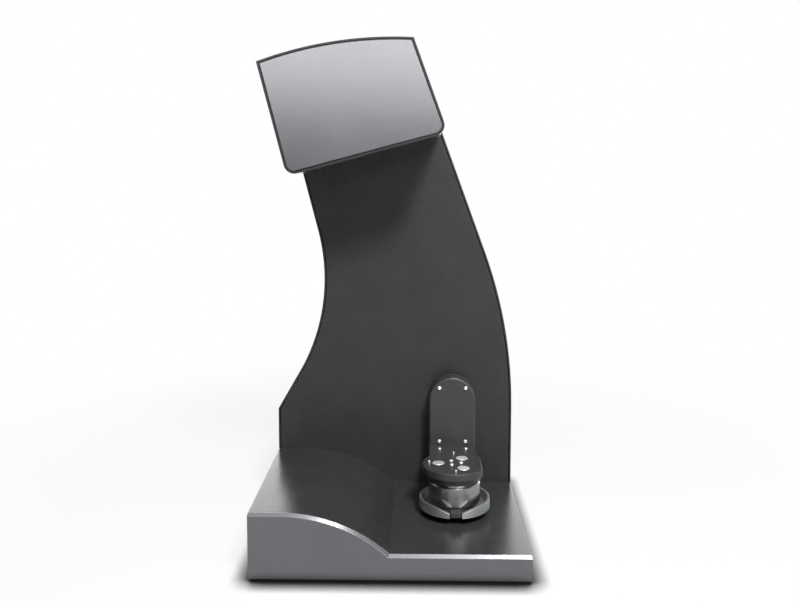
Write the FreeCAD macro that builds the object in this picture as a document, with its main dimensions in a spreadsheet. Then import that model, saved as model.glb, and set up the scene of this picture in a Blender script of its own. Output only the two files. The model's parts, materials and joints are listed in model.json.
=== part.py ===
import FreeCAD, Part
import math
import os
import re
import Sketcher
from types import SimpleNamespace

# Desktop 3D scanner: low base, curved column, projecting optical head, swinging and turning stage.
# Frame: X to the right, Y to the back, Z up. Origin on the table under the middle of the base.

# Driving dimensions, in millimetres and degrees
SIZES = dict(
    # base
    base_width=300,
    base_depth=300,
    foot_height=4,
    platform_top=31.5,
    hump_top=75.5,
    hump_radius=176,
    base_wall=2.5,
    base_edge_round=2,
    front_panel_thick=4,
    front_panel_bevel=3.2,
    seam=0.5,
    base_plate_thick=3,
    foot_radius=12,
    foot_inset_side=42,
    foot_inset_end=30,
    foot_stem_radius=4,
    # column and head outline, seen from the front
    column_depth=95,
    skin_thick=2,
    waist_start=127.3,
    waist_slope=30,
    waist_center_height=297.9,
    waist_radius=243.4,
    left_lean=14.4,
    shoulder_start=131.4,
    shoulder_radius=578,
    right_lean=20.1,
    top_left_height=551.7,
    top_right_height=577.1,
    top_radius=433,
    # head
    head_reach=136.5,
    head_tilt=15,
    head_bottom_height=458.5,
    head_corner_radius=12,
    head_plate_thick=4,
    head_plate_gap=0.5,
    head_plate_proud=1,
    head_plate_bevel=1.2,
    head_frame_width=9,
    head_frame_thick=2,
    # panels of the column
    panel_gap=1.2,
    column_panel_thick=2.5,
    column_panel_rise=16,
    rear_panel_thick=2,
    rear_panel_inset=5,
    frame_sheet=2.5,
    frame_flange=20,
    frame_setback=40,
    # rear panel vents and ports
    vent_length=50,
    vent_width=3.2,
    vent_pitch=8,
    vent_count=7,
    upper_vent_height=500,
    lower_vent_height=230,
    port_height=62,
    switch_offset=-60,
    switch_cut_width=13,
    switch_cut_height=20,
    switch_depth=16,
    bezel_lip=1,
    bezel_wall=1.2,
    rocker_gap=0.3,
    rocker_lean=10,
    rocker_crest=4.2,
    rocker_dip=3,
    rocker_base=3,
    rocker_half_height=7.2,
    rocker_pivot_inset=1,
    rocker_pin_radius=1,
    rocker_pin_bite=0.8,
    jack_offset=-22,
    jack_radius=5,
    jack_lip=1.5,
    jack_bore_radius=3.2,
    jack_bore_depth=9,
    jack_pin_radius=1.2,
    jack_depth=14,
    usb_offset=14,
    usb_width=12,
    usb_height=11,
    usb_wall=1,
    usb_depth=16,
    usb_mouth_depth=9,
    usb_tongue_width=5.6,
    usb_tongue_height=3.2,
    rear_screw_margin=16,
    rear_screw_first=30,
    rear_screw_second=200,
    rear_screw_third=350,
    rear_screw_fourth=510,
    # swing axis and arm
    swing_offset=73,
    swing_height=147.5,
    arm_width=58,
    arm_front_from_column=30,
    arm_cover_thick=5,
    arm_body_thick=16,
    arm_edge_round=2.5,
    foot_cover_top=89,
    foot_cover_thick=5,
    leg_thick=10,
    leg_seat_thick=6,
    leg_nose_margin=2,
    stage_reach=93,
    # swing shaft and drive
    hub_radius=22,
    hub_thick=5,
    shaft_radius=12,
    shaft_hole_radius=14,
    running_gap=0.05,
    bearing_outer_radius=19,
    bearing_width=7,
    bearing_barrel_radius=24,
    bearing_barrel_length=28,
    bearing_flange_radius=36,
    bearing_flange_thick=5,
    mount_plate_side=60,
    mount_plate_thick=3,
    mount_post_radius=4,
    mount_post_spacing=44,
    mount_post_length=31,
    motor_side=42.3,
    motor_corner=4,
    gearbox_length=16,
    motor_gap=2.5,
    output_shaft_radius=4,
    output_shaft_grip=10,
    output_shaft_length=26,
    # stage
    disc_radius=38,
    disc_thick=8,
    disc_top=90.5,
    disc_flat=31.5,
    disc_edge_bevel=0.8,
    disc_seat_gap=1.3,
    magnet_radius=7,
    magnet_circle=19,
    magnet_depth=5,
    magnet_proud=0.3,
    pin_radius=1.5,
    pin_circle=30,
    pin_length=7,
    pin_proud=3,
    pin_thread_radius=1,
    hub_screw_circle=7.5,
    spindle_radius=5,
    spindle_flange_radius=12,
    spindle_length=32,
    stage_bearing_radius=11,
    # stage motor and guard tray
    can_radius=30,
    can_bottom=47,
    can_top=71,
    can_bevel=1.5,
    can_neck_radius=26,
    can_foot_radius=20,
    tray_bottom=40,
    tray_floor=2.5,
    tray_radius=41.5,
    tray_wall=2.5,
    tray_height=11,
    tray_low_height=5,
    tray_notch=14,
    tray_slant_angle=35,
    # screws
    cap_radius=2.6,
    cap_height=1.8,
    cap_bevel=0.7,
    thread_radius=1.5,
    drive_radius=1.2,
    drive_depth=1,
    screw_bite=5,
    arm_screw_across=32.5,
    arm_screw_upper=15.7,
    arm_screw_rise=6,
    foot_screw_setback=10,
    # optics
    shelf_rise=22,
    shelf_thick=4,
    shelf_margin=19,
    shelf_front_gap=12,
    shelf_flange=34,
    strip_reach=10,
    strip_rise=18,
    camera_margin=26,
    camera_angle=9.1,
    camera_side=30,
    camera_height=34,
    wedge_height=8,
    camera_barrel_radius=10,
    camera_barrel_length=33,
    projector_width=56,
    projector_depth=74,
    projector_height=42,
    projector_barrel_radius=14,
    projector_barrel_length=25,
    lens_recess=2,
    lens_rim=1.5,
    barrel_hole_gap=1.5,
    # cooling fan
    fan_offset=-50,
    fan_side=60,
    fan_depth=15,
    fan_wall=1.5,
    fan_hub_radius=12,
    fan_tip_gap=1,
    fan_spider=3,
    fan_axle_radius=1.5,
    fan_blades=7,
    blade_sweep=25,
    blade_width=8,
    # boards
    board_width=110,
    board_depth=150,
    board_thick=1.6,
    board_rise=8,
    board_hole_inset=5,
    chip_height=5,
    coil_height=9,
    connector_height=10,
    board_gap=14.5,
    board_center_y=-50,
    standoff_radius=3.5,
    driver_width=80,
    driver_height=110,
    driver_center_x=-10,
    driver_center_height=330,
)

V = FreeCAD.Vector
doc = FreeCAD.newDocument("desktop_scanner")
sheet = doc.addObject("Spreadsheet::Sheet", "Sizes")
for row, (alias, number) in enumerate(SIZES.items(), start=1):
    sheet.set("A%d" % row, alias)
    sheet.set("B%d" % row, str(number))
    sheet.setAlias("B%d" % row, alias)
doc.recompute()
S = SimpleNamespace(**{alias: float(sheet.get(alias)) for alias in SIZES})
NODES = []


# Small helpers
def bind(thing, prop, text):
    """Tie a property to the sheet. Words that are aliases get the sheet's name in front."""
    def prefixed(word):
        return "Sizes." + word.group(0) if word.group(0) in SIZES else word.group(0)

    thing.setExpression(prop, re.sub(r"[a-z][a-z_]+", prefixed, text))


def amount(size):
    """A number as it is, or the sum of the sheet's values that a text names."""
    if isinstance(size, str):
        return sum(getattr(S, word) for word in size.split(" + "))
    return size


def place(thing, x=0, y=0, z=0, axis=V(0, 0, 1), angle=0):
    """Set a placement. A coordinate given as text stays tied to the sheet."""
    thing.Placement = FreeCAD.Placement(V(amount(x), amount(y), amount(z)), FreeCAD.Rotation(axis, angle))
    for letter, coordinate in (("x", x), ("y", y), ("z", z)):
        if isinstance(coordinate, str):
            bind(thing, "Placement.Base." + letter, coordinate)


def node(name, kind="PartDesign::Body"):
    thing = doc.addObject(kind, name)
    thing.Label = name
    NODES.append(thing)
    return thing


def polar(center, radius, degrees):
    turn = math.radians(degrees)
    return (center[0] + radius * math.cos(turn), center[1] + radius * math.sin(turn))


def arc_to(center, radius, start, end):
    """An arc step of a path: its middle point and its end point."""
    return (polar(center, radius, (start + end) / 2), polar(center, radius, end))


def slide(point, direction, distance):
    return (point[0] + direction[0] * distance, point[1] + direction[1] * distance)


def crossing(p, u, q, w):
    """Where the line through p along u meets the line through q along w."""
    det = u[0] * w[1] - u[1] * w[0]
    step = ((q[0] - p[0]) * w[1] - (q[1] - p[1]) * w[0]) / det
    return slide(p, u, step)


def on_circle(p, u, center, radius):
    """Where the ray from p along u leaves the circle."""
    dx, dy = p[0] - center[0], p[1] - center[1]
    half = dx * u[0] + dy * u[1]
    step = -half + math.sqrt(half * half - dx * dx - dy * dy + radius * radius)
    return slide(p, u, step)


def rectangle(x0, y0, x1, y1):
    return [(x0, y0), (x1, y0), (x1, y1), (x0, y1)]


def circle(x, y, radius):
    """A full circle. A radius given as text is a constraint tied to the sheet."""
    return ("circle", (x, y), radius)


def circles(spots, radius):
    return [circle(x, y, radius) for x, y in spots]


def backwards(path):
    """The same open path from its end to its start."""
    ends = [step[1] if isinstance(step[0], tuple) else step for step in path]
    middles = [step[0] if isinstance(step[0], tuple) else None for step in path]
    turned = [ends[-1]]
    for n in range(len(path) - 1, 0, -1):
        turned.append((middles[n], ends[n - 1]) if middles[n] else ends[n - 1])
    return turned


def slot(x, y, length, width):
    """A level slot with round ends."""
    half = (length - width) / 2
    end = width / 2
    return [
        (x - half, y - end),
        (x + half, y - end),
        ((x + half + end, y), (x + half, y + end)),
        (x - half, y + end),
        ((x - half - end, y), (x - half, y - end)),
    ]


def draw(sketch, loops):
    """Lines and arcs of closed paths. A step is a point, or the middle and end of an arc."""
    for loop in loops:
        if loop[0] == "circle":
            middle, size = loop[1:]
            round_edge = Part.Circle(V(middle[0], middle[1], 0), V(0, 0, 1), amount(size))
            index = sketch.addGeometry(round_edge, False)
            if isinstance(size, str):
                limit = sketch.addConstraint(Sketcher.Constraint("Radius", index, amount(size)))
                bind(sketch, "Constraints[%d]" % limit, size)
            continue
        first = loop[0]
        here = first
        steps = list(loop[1:])
        closing = steps[-1][1] if isinstance(steps[-1][0], tuple) else steps[-1]
        if math.dist(closing, first) > 1e-6:
            steps.append(first)
        for step in steps:
            start = V(here[0], here[1], 0)
            if isinstance(step[0], tuple):
                middle, end = step
                arc = Part.Arc(start, V(middle[0], middle[1], 0), V(end[0], end[1], 0))
                sketch.addGeometry(arc, False)
                here = end
            else:
                sketch.addGeometry(Part.LineSegment(start, V(step[0], step[1], 0)), False)
                here = step


def sketch_in(body, plane, loops, offset=None):
    sketch = body.newObject("Sketcher::SketchObject", body.Name + "_sketch")
    origin = [item for item in body.Origin.OriginFeatures if item.Role == plane][0]
    sketch.AttachmentSupport = [(origin, "")]
    sketch.MapMode = "FlatFace"
    if offset is not None:
        sketch.AttachmentOffset = offset
    draw(sketch, loops)
    return sketch


def lift(distance):
    """Offset of a sketch from its plane, along the plane's normal."""
    return FreeCAD.Placement(V(0, 0, distance), FreeCAD.Rotation())


def pad(body, plane, loops, length, back=False, offset=None):
    feature = body.newObject("PartDesign::Pad", body.Name + "_pad")
    feature.Profile = sketch_in(body, plane, loops, offset)
    bind(feature, "Length", length)
    feature.Reversed = back
    body.Tip = feature
    doc.recompute()
    return feature


def pocket(body, plane, loops, length, reverse=False, offset=None):
    """Cut against the plane's normal: to the back or down. Reversed: to the front or up."""
    before = body.Shape.Volume
    feature = body.newObject("PartDesign::Pocket", body.Name + "_pocket")
    feature.Profile = sketch_in(body, plane, loops, offset)
    bind(feature, "Length", length)
    feature.Reversed = reverse
    body.Tip = feature
    doc.recompute()
    if body.Shape.Volume > before - 1e-6:
        raise RuntimeError(body.Label + ": the pocket cuts nothing")
    return feature


def revolve(body, plane, loops, offset=None):
    """Turn a profile about the sketch's upright axis."""
    feature = body.newObject("PartDesign::Revolution", body.Name + "_turn")
    sketch = sketch_in(body, plane, loops, offset)
    feature.Profile = sketch
    feature.ReferenceAxis = (sketch, ["V_Axis"])
    feature.Angle = 360
    body.Tip = feature
    doc.recompute()
    return feature


def soften(body, kind, size, test):
    """Fillet or chamfer the edges that pass a test, given in the body's own coordinates."""
    base = body.Tip
    names = ["Edge%d" % n for n, edge in enumerate(base.Shape.Edges, start=1) if test(edge)]
    if not names:
        raise RuntimeError(body.Label + ": no edge to soften")
    feature = body.newObject("PartDesign::" + kind, body.Name + "_" + kind.lower())
    feature.Base = (base, names)
    bind(feature, "Radius" if kind == "Fillet" else "Size", size)
    body.Tip = feature
    doc.recompute()
    return feature


def at_level(axis, value, slack=1e-4):
    """A test for edges that lie in one plane across an axis."""
    def test(edge):
        box = edge.BoundBox
        low, high = getattr(box, axis + "Min"), getattr(box, axis + "Max")
        return abs(low - value) < slack and abs(high - value) < slack
    return test


# Places worked out from the driving dimensions
half_width = S.base_width / 2
front_y = -S.base_depth / 2
back_y = S.base_depth / 2
column_y = back_y - S.column_depth
head_y = column_y - S.head_reach
panel_back_y = column_y + S.column_panel_thick
floor_z = S.foot_height
deck_z = S.foot_height + S.base_plate_thick
arm_y = column_y - S.arm_front_from_column
arm_back_y = arm_y + S.arm_cover_thick + S.arm_body_thick
stage_y = column_y - S.stage_reach
rear_outer_y = back_y - S.rear_panel_inset
rear_inner_y = rear_outer_y - S.rear_panel_thick
web_y = column_y + S.frame_setback

# Outline of the column and head, seen from the front, at any distance inside the outer face
waist_dir = (math.sin(math.radians(S.waist_slope)), math.cos(math.radians(S.waist_slope)))
waist_inward = (waist_dir[1], -waist_dir[0])
waist_tangent_z = S.waist_center_height - S.waist_radius * waist_dir[0]
waist_tangent_x = -half_width + (waist_tangent_z - S.waist_start) * waist_dir[0] / waist_dir[1]
waist_center = (waist_tangent_x - S.waist_radius * waist_dir[1], S.waist_center_height)
left_dir = (-math.sin(math.radians(S.left_lean)), math.cos(math.radians(S.left_lean)))
left_inward = (left_dir[1], -left_dir[0])
left_foot = polar(waist_center, S.waist_radius, S.left_lean)
right_dir = (-math.sin(math.radians(S.right_lean)), math.cos(math.radians(S.right_lean)))
right_inward = (-right_dir[1], right_dir[0])
shoulder_center = (half_width - S.shoulder_radius, S.shoulder_start)
right_foot = polar(shoulder_center, S.shoulder_radius, S.right_lean)
top_left = slide(left_foot, left_dir, (S.top_left_height - left_foot[1]) / left_dir[1])
top_right = slide(right_foot, right_dir, (S.top_right_height - right_foot[1]) / right_dir[1])
top_chord = math.dist(top_left, top_right)
top_along = ((top_right[0] - top_left[0]) / top_chord, (top_right[1] - top_left[1]) / top_chord)
top_sag = math.sqrt(S.top_radius ** 2 - (top_chord / 2) ** 2)
top_middle = slide(top_left, top_along, top_chord / 2)
top_center = slide(top_middle, (top_along[1], -top_along[0]), top_sag)
tilt_dir = (math.cos(math.radians(S.head_tilt)), math.sin(math.radians(S.head_tilt)))
tilt_up = (-tilt_dir[1], tilt_dir[0])
head_line = (0, S.head_bottom_height)


def angle_at(center, point):
    return math.degrees(math.atan2(point[1] - center[1], point[0] - center[0]))


def left_top(inset):
    return on_circle(slide(left_foot, left_inward, inset), left_dir, top_center, S.top_radius - inset)


def right_top(inset):
    return on_circle(slide(right_foot, right_inward, inset), right_dir, top_center, S.top_radius - inset)


def top_arc(inset, start, end):
    return arc_to(top_center, S.top_radius - inset, angle_at(top_center, start), angle_at(top_center, end))


def left_side(inset, bottom, top=None):
    """From the bottom up: upright, slope, hollow waist, straight lean."""
    upright = (-half_width + inset, bottom)
    slope_foot = slide((-half_width, S.waist_start), waist_inward, inset)
    knee = crossing(upright, (0, 1), slope_foot, waist_dir)
    radius = S.waist_radius + inset
    return [
        upright,
        knee,
        polar(waist_center, radius, -S.waist_slope),
        arc_to(waist_center, radius, -S.waist_slope, S.left_lean),
        top if top else left_top(inset),
    ]


def right_side(inset, bottom, top=None):
    """From the top down: straight lean, round shoulder, upright."""
    radius = S.shoulder_radius - inset
    return [
        top if top else right_top(inset),
        polar(shoulder_center, radius, S.right_lean),
        arc_to(shoulder_center, radius, S.right_lean, 0),
        (half_width - inset, bottom),
    ]


def top_side(inset):
    """The top arc from left to right."""
    return [left_top(inset), top_arc(inset, left_top(inset), right_top(inset))]


def column_outline(inset, bottom):
    """The closed outline up to the top arc."""
    return left_side(inset, bottom) + top_side(inset)[1:] + right_side(inset, bottom)[1:]


def neck_ends(inset, rise):
    """Where the leaning sides meet a line that far above the head's underside."""
    line = slide(head_line, tilt_up, rise)
    left_end = crossing(slide(left_foot, left_inward, inset), left_dir, line, tilt_dir)
    right_end = crossing(slide(right_foot, right_inward, inset), right_dir, line, tilt_dir)
    return left_end, right_end


def neck_outline(inset, bottom, rise):
    """The closed outline of the column below the head."""
    left_end, right_end = neck_ends(inset, rise)
    return left_side(inset, bottom, left_end) + right_side(inset, bottom, right_end)


def head_arch(inset, rise):
    """The open outline of the head's sides and top, from left to right."""
    left_end, right_end = neck_ends(inset, rise)
    return [left_end] + top_side(inset) + [right_end]


def left_edge(height):
    """The column's left face at a height."""
    if height <= S.waist_start:
        return -half_width
    if height <= waist_tangent_z:
        return -half_width + (height - S.waist_start) * math.tan(math.radians(S.waist_slope))
    if height <= left_foot[1]:
        return waist_center[0] + math.sqrt(S.waist_radius ** 2 - (height - waist_center[1]) ** 2)
    return left_foot[0] - (height - left_foot[1]) * math.tan(math.radians(S.left_lean))


def right_edge(height):
    """The column's right face at a height."""
    if height <= S.shoulder_start:
        return half_width
    if height <= right_foot[1]:
        return shoulder_center[0] + math.sqrt(S.shoulder_radius ** 2 - (height - S.shoulder_start) ** 2)
    return right_foot[0] - (height - right_foot[1]) * math.tan(math.radians(S.right_lean))


def head_outline(inset):
    """The head's section: top arc, leaning sides, tilted underside with round corners."""
    radius = S.head_corner_radius
    line = slide(head_line, tilt_up, radius)
    left_mid = crossing(slide(left_foot, left_inward, radius), left_dir, line, tilt_dir)
    right_mid = crossing(slide(right_foot, right_inward, radius), right_dir, line, tilt_dir)
    turn = radius - inset
    return top_side(inset) + [
        polar(right_mid, turn, S.right_lean),
        arc_to(right_mid, turn, S.right_lean, S.head_tilt - 90),
        polar(left_mid, turn, S.head_tilt - 90),
        arc_to(left_mid, turn, S.head_tilt - 90, S.left_lean - 180),
    ]


# Base: top cover with hump and platform, one bent sheet, open below and at both ends
def base_profile(inset, bottom):
    """Left wall, flat hump top, falling round, platform, right wall."""
    center = (hump_tangent_x, S.hump_top - S.hump_radius)
    radius = S.hump_radius - inset
    level = S.platform_top - inset
    end = math.degrees(math.asin((level - center[1]) / radius))
    return [
        (-half_width + inset, bottom),
        (-half_width + inset, S.hump_top - inset),
        (hump_tangent_x, S.hump_top - inset),
        arc_to(center, radius, 90, end),
        (half_width - inset, level),
        (half_width - inset, bottom),
    ]


hump_drop = S.hump_top - S.platform_top
hump_tangent_x = -math.sqrt(S.hump_radius ** 2 - (S.hump_radius - hump_drop) ** 2)
base_cover = node("base_top_cover")
pad(base_cover, "XZ_Plane", [base_profile(0, floor_z) + backwards(base_profile(S.base_wall, floor_z))],
    "base_depth - column_depth - front_panel_thick - seam", back=True)
place(base_cover, y=front_y + S.front_panel_thick + S.seam)


def side_top_corner(edge):
    """The two outer corners that run front to back along the top of the side walls."""
    box = edge.BoundBox
    along = box.XLength < 1e-4 and box.ZLength < 1e-4
    left = abs(box.XMin + half_width) < 1e-4 and abs(box.ZMax - S.hump_top) < 1e-4
    right = abs(box.XMax - half_width) < 1e-4 and abs(box.ZMax - S.platform_top) < 1e-4
    return along and (left or right)


soften(base_cover, "Fillet", "base_edge_round", side_top_corner)

# Base: front panel with the bevel that follows hump and platform
base_front = node("base_front_panel")
pad(base_front, "XZ_Plane", [base_profile(0, floor_z)], "front_panel_thick", back=True)
place(base_front, y=front_y)


def front_top_edge(edge):
    flat = at_level("Y", 0)(edge)
    return flat and edge.BoundBox.ZMin > S.platform_top - 1e-3


soften(base_front, "Chamfer", "front_panel_bevel", front_top_edge)
soften(base_front, "Fillet", "base_edge_round", side_top_corner)

# Base: bottom plate with the holes of the four feet
foot_x, foot_y = half_width - S.foot_inset_side, back_y - S.foot_inset_end
foot_spots = [(sx * foot_x, sy * foot_y) for sx in (-1, 1) for sy in (-1, 1)]
plate_half = half_width - S.base_wall
base_plate = node("base_bottom_plate")
plate_loop = rectangle(-plate_half, front_y + S.front_panel_thick, plate_half, rear_outer_y)
pad(base_plate, "XY_Plane", [plate_loop] + circles(foot_spots, "foot_stem_radius"), "base_plate_thick")
place(base_plate, z="foot_height")

# Feet: round rubber pads with a stem pressed into the plate
feet = node("rubber_feet")
pad(feet, "XY_Plane", circles(foot_spots, "foot_radius"), "foot_height")
soften(feet, "Chamfer", "foot_height / 4", at_level("Z", 0))
pad(feet, "XY_Plane", circles(foot_spots, "foot_stem_radius"), "base_plate_thick", offset=lift(S.foot_height))

# Column: left skin, right skin and top skin, each one bent sheet with mitred ends
skin_paths = (
    ("left_side_skin", left_side(0, floor_z), left_side(S.skin_thick, floor_z)),
    ("right_side_skin", right_side(0, floor_z), right_side(S.skin_thick, floor_z)),
    ("top_skin", top_side(0), top_side(S.skin_thick)),
)
for name, outside, inside in skin_paths:
    skin = node(name)
    pad(skin, "XZ_Plane", [outside + backwards(inside)], "column_depth", back=True)
    place(skin, y=column_y)

# Column: front panel with the hole of the swing shaft and a cable hole behind the hump
panel_edge = S.skin_thick + S.panel_gap
board_x = S.base_wall + S.board_gap + S.board_width / 2 - half_width
column_front = node("column_front_panel")
pad(column_front, "XZ_Plane", [
    neck_outline(panel_edge, deck_z, S.column_panel_rise),
    circle(S.swing_offset, S.swing_height, "shaft_hole_radius"),
    slot(board_x, S.platform_top, S.board_width / 2, S.platform_top / 2),
], "column_panel_thick", back=True)
place(column_front, y=column_y)

# Column: inner frame, a web with a flange that touches the skins all round
frame = node("column_frame")
pad(frame, "XZ_Plane", [
    column_outline(S.skin_thick, deck_z),
    column_outline(S.skin_thick + S.frame_sheet, deck_z + S.frame_sheet),
], "frame_flange", back=True)
pad(frame, "XZ_Plane", [
    column_outline(S.skin_thick, deck_z),
    circle(S.swing_offset, S.swing_height, "motor_side + frame_sheet"),
    slot(board_x, deck_z + S.board_width / 2, S.board_width / 2, S.platform_top),
], "frame_sheet", back=True)
place(frame, y=web_y)

# Column: rear panel with two banks of vent slots and three ports
port_z = S.port_height
rear_spots = []
for level in (S.rear_screw_first, S.rear_screw_second, S.rear_screw_third, S.rear_screw_fourth):
    rear_spots.append((left_edge(level) + S.rear_screw_margin, level))
    rear_spots.append((right_edge(level) - S.rear_screw_margin, level))
vent_spots = []
for bank_x, bank_z in ((S.fan_offset, S.upper_vent_height), (S.driver_center_x, S.lower_vent_height)):
    for n in range(int(S.vent_count)):
        vent_spots.append((bank_x, bank_z + (n - (S.vent_count - 1) / 2) * S.vent_pitch))


def centered(x, y, width, height):
    return rectangle(x - width / 2, y - height / 2, x + width / 2, y + height / 2)


rear = node("rear_panel")
pad(rear, "XZ_Plane", [
    column_outline(panel_edge, deck_z),
    centered(S.switch_offset, port_z, S.switch_cut_width, S.switch_cut_height),
    circle(S.jack_offset, port_z, "jack_radius"),
    centered(S.usb_offset, port_z, S.usb_width, S.usb_height),
] + circles(rear_spots, "thread_radius"), "rear_panel_thick", back=True)
pocket(rear, "XZ_Plane", [slot(x, z, S.vent_length, S.vent_width) for x, z in vent_spots], "rear_panel_thick")
place(rear, y=rear_inner_y)

# Head: hood, one closed sheet with round lower corners, open in front and behind
hood = node("head_hood")
pad(hood, "XZ_Plane", [head_outline(0), head_outline(S.skin_thick)], "head_reach", back=True)
place(hood, y=head_y)


# Optics: the projector looks square down from the underside to the stage's centre, and the cameras stand
# as far to both sides as the nearer wall of the hood allows
optics_foot = crossing((S.swing_offset, S.disc_top), tilt_up, head_line, tilt_dir)
shelf_top = S.shelf_rise + S.shelf_thick
camera_seat = shelf_top + S.wedge_height
seat_middle = slide(optics_foot, tilt_up, camera_seat)
camera_half = min(math.dist(seat_middle, end) for end in neck_ends(0, camera_seat)) - S.camera_margin


def in_head(along=0, rise=0, y=0, lean=0):
    """A placement in the head's tilted frame, whose origin is on the underside over the stage."""
    spot = slide(slide(optics_foot, tilt_dir, along), tilt_up, rise)
    return FreeCAD.Placement(V(spot[0], y, spot[1]), FreeCAD.Rotation(V(0, 1, 0), -S.head_tilt + lean))


def toe_in(drop):
    """How far a camera's axis has come in, that far below its seat."""
    return drop * math.tan(math.radians(S.camera_angle))


skin_spot = camera_half - toe_in(camera_seat - S.skin_thick / 2)
pocket(hood, "XY_Plane", [circle(0, 0, "projector_barrel_radius + barrel_hole_gap")]
       + circles([(-skin_spot, 0), (skin_spot, 0)], "camera_barrel_radius + barrel_hole_gap"),
       "skin_thick * 3", offset=in_head(rise=2 * S.skin_thick, y=stage_y - head_y))

# Head: strip that joins hood and column skins from inside
strip = node("hood_joining_strip")
strip_inset = S.skin_thick + S.frame_sheet
strip_loop = head_arch(S.skin_thick, S.strip_rise) + backwards(head_arch(strip_inset, S.strip_rise))
pad(strip, "XZ_Plane", [strip_loop], "strip_reach * 2", back=True)
place(strip, y=column_y - S.strip_reach)

# Head: inner frame behind the front plate, and the bevelled plate itself
plate_back_y = head_y - S.head_plate_proud + S.head_plate_thick
head_frame = node("head_plate_frame")
pad(head_frame, "XZ_Plane", [
    head_outline(S.skin_thick),
    head_outline(S.skin_thick + S.head_frame_width),
], "head_frame_thick", back=True)
place(head_frame, y=plate_back_y)

head_plate = node("head_front_plate")
pad(head_plate, "XZ_Plane", [head_outline(S.skin_thick + S.head_plate_gap)], "head_plate_thick", back=True)
soften(head_plate, "Chamfer", "head_plate_bevel", at_level("Y", 0))
place(head_plate, y=head_y - S.head_plate_proud)

# Swing arm: L-shaped bracket, upright leg with a round top, level leg with a stepped seat for the disc
leg_bottom = S.foot_cover_top - S.foot_cover_thick - S.leg_thick
arm_half = S.arm_width / 2
screw_half = S.arm_screw_across / 2
cover_foot = S.foot_cover_top - S.swing_height
foot_screw_y = arm_y - S.foot_screw_setback - stage_y
foot_screw_spots = [(-screw_half, foot_screw_y), (screw_half, foot_screw_y)]
arm_screw_spots = [
    (sx * screw_half, level)
    for sx in (-1, 1)
    for level in (S.arm_screw_upper, cover_foot + S.arm_screw_rise)
]


def tongue(bottom):
    """A plate outline with a round top about the swing axis."""
    return [(-arm_half, bottom), (arm_half, bottom), (arm_half, 0), ((0, arm_half), (-arm_half, 0))]


bracket = node("arm_bracket")
pad(bracket, "XZ_Plane", [tongue(leg_bottom - S.swing_height)], "arm_body_thick")
nose_radius = arm_half + S.leg_nose_margin
nose_side = math.sqrt(nose_radius ** 2 - arm_half ** 2)
stage_from_back = arm_back_y - stage_y
pad(bracket, "XY_Plane", [[
    (arm_half, 0),
    (arm_half, -stage_from_back + nose_side),
    ((0, -stage_from_back - nose_radius), (-arm_half, -stage_from_back + nose_side)),
    (-arm_half, 0),
]], "leg_thick", offset=lift(leg_bottom - S.swing_height))
seat_radius = S.disc_radius + S.disc_seat_gap
leg_top = leg_bottom + S.leg_thick - S.swing_height
pocket(bracket, "XY_Plane", [circle(0, -stage_from_back, "disc_radius + disc_seat_gap")],
       "leg_thick - leg_seat_thick", offset=lift(leg_top))
pocket(bracket, "XY_Plane", [circle(0, -stage_from_back, "stage_bearing_radius")], "leg_thick",
       offset=lift(leg_top))
pocket(bracket, "XY_Plane", circles([(x, y - stage_from_back) for x, y in foot_screw_spots], "thread_radius"),
       "screw_bite", offset=lift(leg_top))
pocket(bracket, "XZ_Plane", circles(arm_screw_spots, "thread_radius"), "screw_bite",
       offset=lift(S.arm_body_thick))
place(bracket, x="swing_offset", y=arm_back_y, z="swing_height")

# Swing arm: front cover, a plate with a round top and a rounded rim
arm_cover = node("arm_front_cover")
pad(arm_cover, "XZ_Plane", [tongue(cover_foot)], "arm_cover_thick", back=True)


def cover_rim(edge):
    flat = at_level("Y", 0)(edge)
    return flat and edge.BoundBox.ZMax > cover_foot + 1


soften(arm_cover, "Fillet", "arm_edge_round", cover_rim)
pocket(arm_cover, "XZ_Plane", circles(arm_screw_spots, "thread_radius"), "arm_cover_thick")
place(arm_cover, x="swing_offset", y=arm_y, z="swing_height")

# Swing arm: foot cover, a level plate hollowed round the disc
foot_cover = node("arm_foot_cover")
cover_side = math.sqrt(seat_radius ** 2 - arm_half ** 2)
cover_reach = arm_y + S.arm_cover_thick - stage_y
pad(foot_cover, "XY_Plane", [[
    (-arm_half, cover_reach),
    (-arm_half, cover_side),
    ((0, seat_radius), (arm_half, cover_side)),
    (arm_half, cover_reach),
]] + circles(foot_screw_spots, "thread_radius"), "foot_cover_thick")
place(foot_cover, x="swing_offset", y=stage_y, z=S.foot_cover_top - S.foot_cover_thick)


# Screws: bevelled heads with a socket, on a common seat, several in one node
def screws(name, plane, spots, at, length, facing_back=False):
    group = node(name)
    pad(group, plane, circles(spots, "cap_radius"), "cap_height", back=facing_back)
    axis = "Z" if plane == "XY_Plane" else "Y"
    upward = plane == "XY_Plane" or facing_back
    soften(group, "Chamfer", "cap_bevel", at_level(axis, S.cap_height if upward else -S.cap_height))
    pad(group, plane, circles(spots, "thread_radius"), length, back=not facing_back)
    sockets = [hexagon(x, y, S.drive_radius) for x, y in spots]
    crown = lift(-S.cap_height if facing_back else S.cap_height)
    pocket(group, plane, sockets, "drive_depth", reverse=facing_back, offset=crown)
    place(group, *at)
    return group


def hexagon(x, y, radius):
    return [polar((x, y), radius, 60 * n) for n in range(6)]


screws("arm_cover_screws", "XZ_Plane", arm_screw_spots, ("swing_offset", arm_y, "swing_height"),
       "arm_cover_thick + screw_bite")
screws("foot_cover_screws", "XY_Plane", foot_screw_spots, ("swing_offset", stage_y, "foot_cover_top"),
       "foot_cover_thick + screw_bite")

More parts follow.
